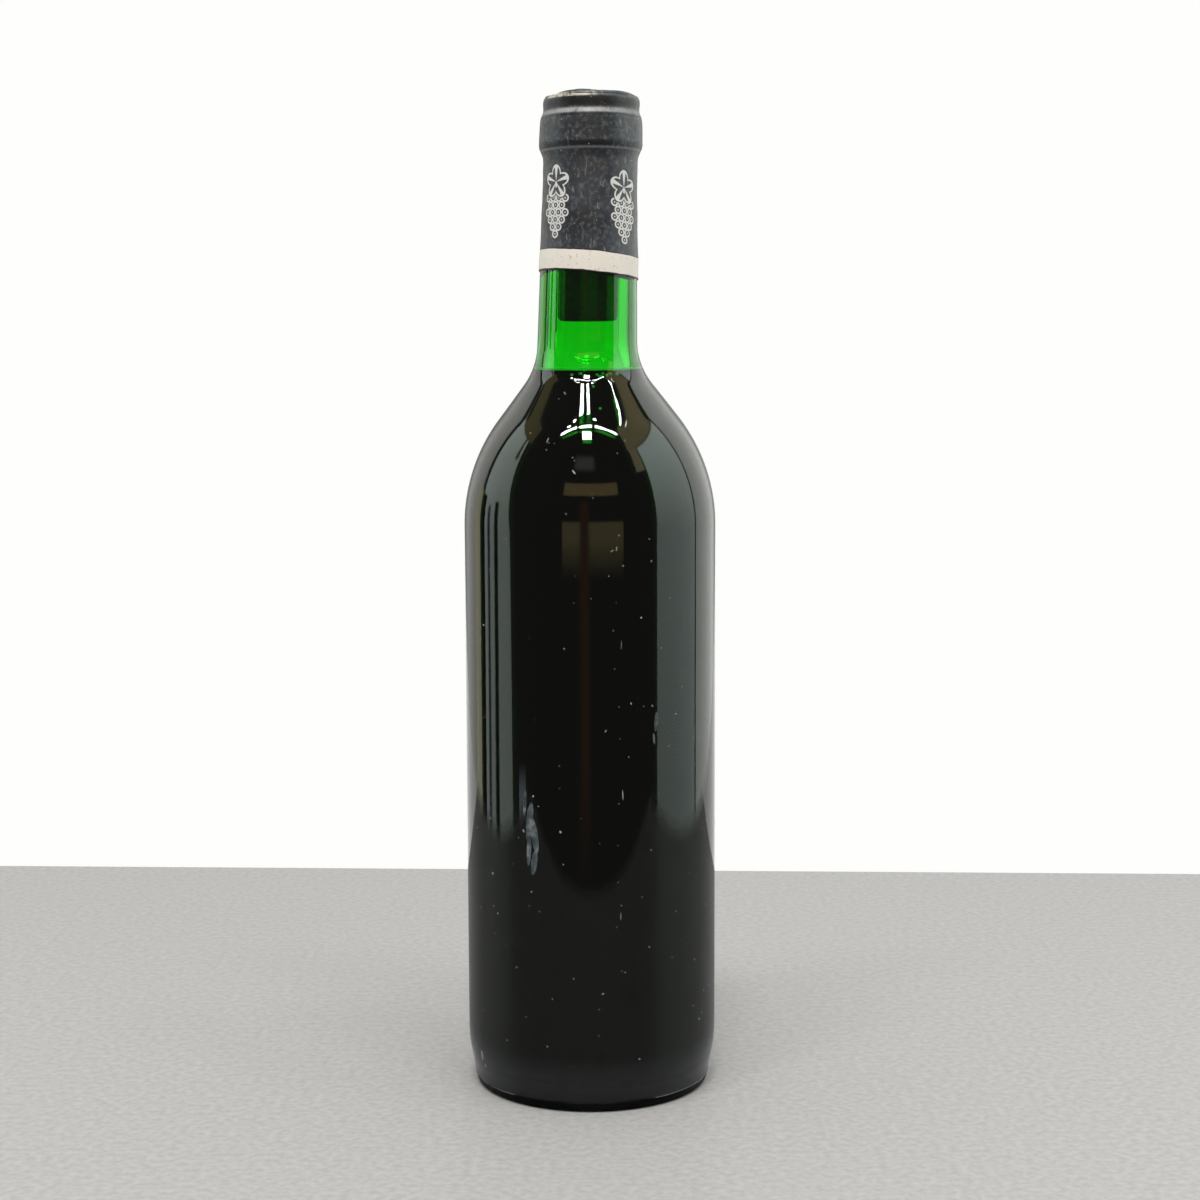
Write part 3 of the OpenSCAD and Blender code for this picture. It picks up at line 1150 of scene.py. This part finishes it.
@dataclass
class Dust:
    """Grains of dust on the glass, the few scuffs and smears that stand out, and the bubbles."""

    bottle: GlassBottle
    count: int = 400
    seed: int = 12
    low: float = 14.0
    high: float = 214.0
    scuffs: tuple[Grain, ...] = (
        Grain(39.0, 188.0, 0.5, 1.5, 20),
        Grain(-23.0, 199.0, 0.4, 1.8, 12),
        Grain(-7.5, 190.0, 0.35, 1.6, -40),
        Grain(11.5, 168.0, 0.35, 1.5, 5),
        Grain(9.5, 167.4, 0.3, 1.1, 60),
        Grain(-62.0, 12.0, 1.6, 3.6, 8),
        Grain(-60.0, 9.0, 0.7, 1.6, 30),
        Grain(13.5, 140.0, 0.25, 2.6, 2),
        Grain(14.0, 96.0, 0.25, 3.2, -3),
        Grain(13.0, 60.0, 0.22, 2.4, 2),
    )
    smears: tuple[Grain, ...] = (
        Grain(30.0, 117.0, 1.3, 6.0, 4),
        Grain(28.9, 112.0, 0.7, 3.4, -6),
        Grain(-30.6, 93.0, 1.2, 8.0, 4),
        Grain(-28.2, 87.5, 2.4, 12.0, 6),
        Grain(-25.8, 83.5, 2.4, 11.0, -9),
        Grain(-28.6, 79.0, 1.6, 10.0, 3),
        Grain(-26.0, 75.5, 2.0, 8.0, 8),
    )
    bubbles: tuple[Point, ...] = (
        (-19.0, 1.9), (-9.0, 1.7), (-4.0, 2.4), (4.5, 5.6), (6.0, 4.2), (8.0, 12.0), (10.0, 2.0),
        (13.0, 2.6), (17.0, 1.8), (21.0, 2.2), (26.0, 1.8), (34.0, 1.9)
    )

    def grains(self) -> list[Grain]:
        """Where the grains lie, the same on every run.

        Returns:
            The scuffs, and the specks of dust.
        """
        dice = random.Random(self.seed)
        found = list(self.scuffs)
        for _ in range(self.count):
            size = dice.uniform(0.14, 0.38) * (1.6 if dice.random() < 0.08 else 1.0)
            found.append(
                Grain(
                    dice.uniform(-180, 180),
                    dice.uniform(self.low, self.high),
                    size,
                    size * dice.uniform(0.8, 2.4),
                    dice.uniform(-90, 90),
                )
            )
        # A loose column of specks, a little to the right of the front
        for row in range(9):
            azimuth = 12 + dice.uniform(-1.5, 1.5)
            found.append(Grain(azimuth, 150 - 13 * row + dice.uniform(-5, 5), 0.2, 0.3))
        return found

    def foam(self) -> list[Grain]:
        """Bubbles against the glass, each a little under the wine's edge.

        Returns:
            The bubbles.
        """
        dice = random.Random(self.seed)
        found = []
        for azimuth, under in self.bubbles:
            size = dice.uniform(0.8, 1.3)
            height = self.bottle.measures.wine_z - under
            found.append(Grain(azimuth, height, size, size, proud=size / 2))
        return found

    def surface(self, outline: Sequence[Point], height: float) -> tuple[float, float]:
        """Radius of an outline at a height, and its slope in degrees.

        Args:
            outline: Radii and heights, lowest first.
            height: The height.

        Returns:
            The radius, and the slope that is 0 on an upright wall.
        """
        pairs = [(a, b) for a, b in zip(outline, outline[1:]) if a[1] <= height < b[1]]
        (r0, z0), (r1, z1) = pairs[-1]
        slope = math.degrees(math.atan2(r0 - r1, z1 - z0))
        return r0 + (r1 - r0) * (height - z0) / (z1 - z0), slope

    def lay(
        self, name: str, grains: Sequence[Grain], outline: Sequence[Point], material: bpy.types.Material
    ) -> None:
        """Models one grain, lays a copy at each place, and joins them.

        Args:
            name: Name of the new piece.
            grains: The grains' places and sizes.
            outline: Radii and heights of the surface that they lie on.
            material: Their finish.
        """
        deselect_all()
        bpy.ops.mesh.primitive_ico_sphere_add(subdivisions=2, radius=0.5 * MM)
        first = bpy.context.object
        copies = []
        for grain in grains:
            radius, slope = self.surface(outline, grain.height)
            copy = first.copy()
            copy.data = first.data.copy()
            a = math.radians(grain.azimuth)
            side = radius * math.sin(a) + sway(grain.height)
            copy.location = Vector((side, -radius * math.cos(a), grain.height)) * MM
            copy.scale = (grain.across, grain.proud / 0.5, grain.up)
            face = Matrix.Rotation(a, 4, "Z") @ Matrix.Rotation(math.radians(-slope), 4, "X")
            spin = Matrix.Rotation(math.radians(grain.tilt), 4, "Y")
            copy.rotation_euler = (face @ spin).to_euler()
            bpy.context.collection.objects.link(copy)
            copies.append(copy)
        deselect_all()
        for copy in copies:
            copy.select_set(True)
        bpy.context.view_layer.objects.active = copies[0]
        bpy.ops.object.join()
        dust = bpy.context.object
        bpy.ops.object.transform_apply(location=True, rotation=True, scale=True)
        bpy.data.objects.remove(first, do_unlink=True)
        dust.name = dust.data.name = name
        dust.data.materials.append(material)
        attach(dust, ROOT)
        log.info("%s: %d faces", dust.name, len(dust.data.polygons))

    def build(self) -> None:
        """Lays the grains of dust, the smears and the bubbles."""
        outside = [at for at in self.bottle.outside() if at[1] > 1.0]
        self.lay("dust_grains", self.grains(), outside, DUST.build())
        self.lay("wipe_marks", self.smears, outside, SMEAR.build())
        self.lay("wine_bubbles", self.foam(), self.bottle.cavity(), BUBBLE_PAINTED_HIGHLIGHT.build())


# ---------------------------------------------------------------- studio


@dataclass(frozen=True)
class TableTop(Finish):
    """Pale grey laminate with a faint mottle, up to its far edge, and white beyond it.

    In the glass's mirror it takes painted shade: darker, with a painted shadow where the bottle
    stands and a painted pale ring round that, and it ends where a real table does. Its sizes are in metres.
    """

    far_edge: float = 0.281
    near_edge: float = -0.295
    half_width: float = 0.42
    edge_blur: float = 0.03
    # Painted shadow and painted light, both seen only in the glass's mirror: radii of the dark ring under
    # the bottle, and of the pale ring round it
    painted_contact_shadow: tuple[float, float] = (0.0380, 0.0388)
    painted_light_ring: tuple[float, float] = (0.044, 0.084)
    slant: float = 0.05
    mottle_mm: float = 2.4
    name: str = "table_top"

    def shaders(self, tree: Tree) -> dict[str, Source]:
        """Adds the finish's nodes.

        Args:
            tree: The material's node tree.

        Returns:
            What goes to the output's sockets.
        """
        place = add(tree, "TexCoord").outputs["Object"]
        x, y, _ = add(tree, "SeparateXYZ", (place,)).outputs
        mirrored = add(tree, "LightPath").outputs["Is Glossy Ray"]
        mottle = add(tree, "TexNoise", {"Vector": place, "Scale": 1 / (self.mottle_mm * MM), "Detail": 5.0})
        tone = add(tree, "ValToRGB", {"Fac": mottle})
        set_stops(tone.color_ramp, [(0.34, srgb("9c9b99")), (0.66, srgb("aba9a6"))])
        away = length(tree, x, y)
        shadow, painted_light_ring = (add(tree, "MapRange", (away, *edge)) for edge in (self.painted_contact_shadow, self.painted_light_ring))
        # Painted light: a paler ring round the bottle, seen only in the glass's mirror
        near = add(tree, "Mix", {0: painted_light_ring, "A": srgb("939395"), "B": srgb("6c6c6b")}, data_type="RGBA")
        # Painted shadow: near-black where the bottle stands
        under = add(tree, "Mix", {0: shadow, "A": srgb("2e2a30"), "B": near}, data_type="RGBA")
        # Painted shade: the glass's mirror sees these darker colours, not the table's own
        dark = add(tree, "Mix", {0: mirrored, "A": tone, "B": under}, data_type="RGBA")
        top = add(tree, "BsdfPrincipled", {"Base Color": dark, "Roughness": 0.5, "Specular IOR Level": 0.3})
        slanted = add(tree, Op.ADD, (y, add(tree, Op.MUL, (x, self.slant))))
        beyond = add(tree, Op.MORE, (slanted, self.far_edge))
        white = add(tree, "Emission", {"Color": srgb("fefefc"), "Strength": 1.0})
        whole = add(tree, "MixShader", (beyond, top, white))
        off_front = add(tree, "MapRange", (y, self.near_edge, self.near_edge - self.edge_blur))
        off_side = add(
            tree,
            "MapRange",
            (add(tree, Op.ABS, (x,)), self.half_width - self.edge_blur, self.half_width + self.edge_blur),
        )
        gone = add(tree, Op.MUL, (mirrored, add(tree, Op.MAX, (off_front, off_side))))
        return {"Surface": add(tree, "MixShader", (gone, whole, add(tree, "BsdfTransparent")))}


# Elevations, in degrees, between which a panel's light changes
LEVEL_EL = -15.0
RAISED_EL = 40.0


@dataclass(frozen=True)
class Patch:
    """One surface of the room that the glass mirrors, with its place in degrees.

    Azimuth 0 lies behind the camera, and 90 to the right. Its light runs from the strength
    level, at LEVEL_EL and below, to the strength raised, at RAISED_EL and above.
    """

    left: float
    right: float
    low: float
    high: float
    colour: str
    level: float
    raised: float
    lean: float = 0.0
    soft: float = 0.8

    def ramp(self, tree: Tree, value: Source, start: float, end: float) -> Source:
        """A smooth step from 0 to 1 between two values."""
        return add(tree, "MapRange", (value, start, end), interpolation_type="SMOOTHSTEP")

    def over(self, tree: Tree, below: Source, azimuth: Source, elevation: Source) -> Source:
        """Lays the patch over what is already there.

        Args:
            tree: The world's node tree.
            below: Light so far.
            azimuth: Degrees round.
            elevation: Degrees up.

        Returns:
            The light with this patch in it.
        """
        leant = add(tree, Op.SUB, (azimuth, add(tree, Op.MUL, (elevation, self.lean))))
        sides = [
            self.ramp(tree, azimuth, self.left - self.soft, self.left + self.soft),
            self.ramp(tree, leant, self.right + self.soft, self.right - self.soft),
            self.ramp(tree, elevation, self.low - self.soft, self.low + self.soft),
            self.ramp(tree, elevation, self.high + self.soft, self.high - self.soft),
        ]
        mask = add(
            tree, Op.MUL, (add(tree, Op.MUL, (sides[0], sides[1])), add(tree, Op.MUL, (sides[2], sides[3])))
        )
        strength = add(tree, "MapRange", (elevation, LEVEL_EL, RAISED_EL, self.level, self.raised))
        light = add(tree, "VectorMath", {0: srgb(self.colour)[:3], "Scale": strength}, operation="SCALE")
        return add(tree, "Mix", {0: mask, "A": below, "B": light}, data_type="RGBA")


@dataclass(frozen=True)
class Lamp:
    """One lamp under the ceiling: its middle and size in metres, and its watts per square metre."""

    x: float
    y: float
    wide: float
    deep: float
    light: float = 180.0
    turn: float = 0.0


@dataclass
class Studio:
    """Camera, table, soft room light, and the lamps and panels that the glass mirrors.

    The camera's place is in millimetres and degrees, and the ceiling's height in metres.
    """

    distance: float = 644.0
    eye_height: float = 214.6
    lens: float = 63.36
    pitch: float = 5.78
    yaw: float = 0.285
    roll: float = 0.2
    ceiling: float = 2.2
    patches: tuple[Patch, ...] = (
        Patch(-181, -122, -91, 91, "fdfdf8", 0.72, 1.45),
        Patch(112.5, 181, -91, 91, "fbfdf8", 1.4, 2.0),
        Patch(-181, -156, -91, 91, "e4e6e2", 0.35, 0.5, soft=8),
        Patch(156, 181, -91, 91, "e4e6e2", 0.5, 0.7, soft=8),
        Patch(63, 110.5, -91, 45, "eefaf6", 1.02, 3.1),
        Patch(-117, -78.5, -91, 42.5, "f0faf5", 1.2, 2.6, lean=-0.2),
        Patch(-129, -119.5, -91, 9.5, "fdf6cf", 1.2, 1.2),
        Patch(-117.5, -111.5, -91, 9, "2f2f30", 1.0, 1.0),
        Patch(-107, -103.5, -91, 6, "505252", 1.0, 1.0, soft=1.6),
        Patch(-97.5, -92.5, -91, 9, "38393a", 1.0, 1.0, soft=1.2),
        Patch(50, 107, 45.5, 61, "fbe8b7", 1.2, 1.2, soft=1.5),
        Patch(51, 61.5, 31.5, 46, "fbe8bf", 1.35, 1.35),
        Patch(-113, -82, 42.5, 53, "e8d69f", 0.75, 0.75, soft=1.5),
        Patch(-25, 27, 20, 28, "fbdc9f", 0.95, 0.95),
        Patch(-25, 30, -4.5, 3.6, "fbe6b3", 0.32, 0.32),
        Patch(-25, 30, -4.5, 2.8, "fbe6b3", 0.66, 0.66),
        Patch(-69, -62, -12.4, -10.6, "e4eef6", 1.1, 1.1, soft=0.5),
        Patch(-62, -50, -13.4, -11.9, "e4eef6", 0.9, 0.9, soft=0.5),
        Patch(-92, -81, 31, 43, "c9a690", 0.75, 0.75, lean=-0.2),
        Patch(-17, 5, 37, 46, "c8ccc0", 0.8, 0.8, soft=2.5),
        Patch(-9, -1, -12, 16, "8a6a5c", 1.0, 1.0, soft=2.5),
    )
    lamps: tuple[Lamp, ...] = (
        Lamp(-0.68, -0.84, 0.56, 0.07, turn=4),
        Lamp(-0.12, -0.82, 0.38, 0.09),
        Lamp(0.54, -0.85, 0.74, 0.07, turn=-5),
        Lamp(-0.09, -1.12, 0.30, 0.26),
        Lamp(0.93, -0.37, 0.06, 0.28),
        Lamp(1.12, -0.37, 0.02, 0.26, light=56.0),
        Lamp(-0.64, -0.70, 0.09, 0.07),
        Lamp(-0.45, -0.61, 0.09, 0.06),
        Lamp(-0.25, -0.55, 0.12, 0.08),
        Lamp(-0.03, -0.575, 0.09, 0.06),
        Lamp(0.16, -0.64, 0.08, 0.05),
    )

    def camera(self) -> None:
        """Adds the camera, a little above the bottle's middle and looking slightly down."""
        deselect_all()
        place = (0.0, -self.distance * MM, self.eye_height * MM)
        turn = [math.radians(a) for a in (90 - self.pitch, self.roll, -self.yaw)]
        bpy.ops.object.camera_add(location=place, rotation=turn)
        camera = bpy.context.object
        camera.data.sensor_width = 36.0
        camera.data.lens = self.lens
        camera.data.clip_start = 0.01
        camera.data.clip_end = 50.0
        bpy.context.scene.camera = camera

    def floor(self) -> None:
        """Adds the table."""
        deselect_all()
        bpy.ops.mesh.primitive_plane_add(size=6.0)
        table = bpy.context.object
        table.name = "floor_table"
        table.data.materials.append(TableTop().build())

    def room(self) -> None:
        """Sets the soft room light, and the room's panels for what mirrors them."""
        world = bpy.data.worlds.new("soft_room")
        bpy.context.scene.world = world
        world.use_nodes = True
        tree = world.node_tree
        tree.nodes.clear()
        path = add(tree, "LightPath")
        toward = add(tree, "TexCoord").outputs["Generated"]
        x, y, z = add(tree, "SeparateXYZ", (toward,)).outputs
        turn = add(tree, Op.ATAN2, (x, add(tree, Op.MUL, (y, -1.0))))
        level = length(tree, x, y)
        azimuth = add(tree, Op.MUL, (turn, 180 / math.pi))
        elevation = add(tree, Op.MUL, (add(tree, Op.ATAN2, (z, level)), 180 / math.pi))
        base = add(tree, "RGB")
        base.outputs[0].default_value = srgb("5e5c59")
        light = base
        for patch in self.patches:
            light = patch.over(tree, light, azimuth, elevation)
        mirrored = add(tree, "Background", {"Color": light, "Strength": 1.0})
        soft = add(tree, "Background", {"Color": srgb("ffffff"), "Strength": 0.9})
        white = add(tree, "Background", {"Color": srgb("fefefc"), "Strength": 1.0})
        unmirrored = add(tree, Op.LESS, (path.outputs["Glossy Depth"], 0.5))
        through = add(tree, Op.MUL, (path.outputs["Is Transmission Ray"], unmirrored))
        straight = add(tree, Op.MAX, (path.outputs["Is Camera Ray"], through))
        lit = add(tree, "MixShader", (path.outputs["Is Glossy Ray"], soft, mirrored))
        seen = add(tree, "MixShader", (straight, lit, white))
        add(tree, "OutputWorld", {"Surface": seen})

    def lamp(self, number: int, lamp: Lamp) -> None:
        """Adds one lamp, level under the ceiling, that lights little but is mirrored brightly.

        Args:
            number: Number that the lamp is named after.
            lamp: Its place and light.
        """
        deselect_all()
        place = (lamp.x, lamp.y, self.ceiling)
        bpy.ops.object.light_add(type="AREA", location=place, rotation=(0, 0, math.radians(lamp.turn)))
        made = bpy.context.object
        made.name = f"lamp_{number}"
        made.data.shape = "RECTANGLE"
        made.data.size, made.data.size_y = lamp.wide, lamp.deep
        made.data.energy = lamp.light * lamp.wide * lamp.deep
        made.data.diffuse_factor = 0.3
        made.visible_camera = False

    def build(self) -> None:
        """Sets up the whole studio."""
        self.camera()
        self.floor()
        self.room()
        for number, lamp in enumerate(self.lamps):
            self.lamp(number, lamp)
        bpy.context.scene.view_settings.view_transform = "Standard"


def main() -> None:
    """Builds the bottle and the studio, piece by piece."""
    logging.basicConfig(level=logging.INFO, format="%(message)s")
    measures = Measures.from_frame()
    Studio().build()
    bottle = GlassBottle(measures)
    bottle.build()
    WineFill(bottle).build()
    CorkStopper(measures).build()
    Capsule().build()
    Dust(bottle).build()


if __name__ == "__main__":
    main()
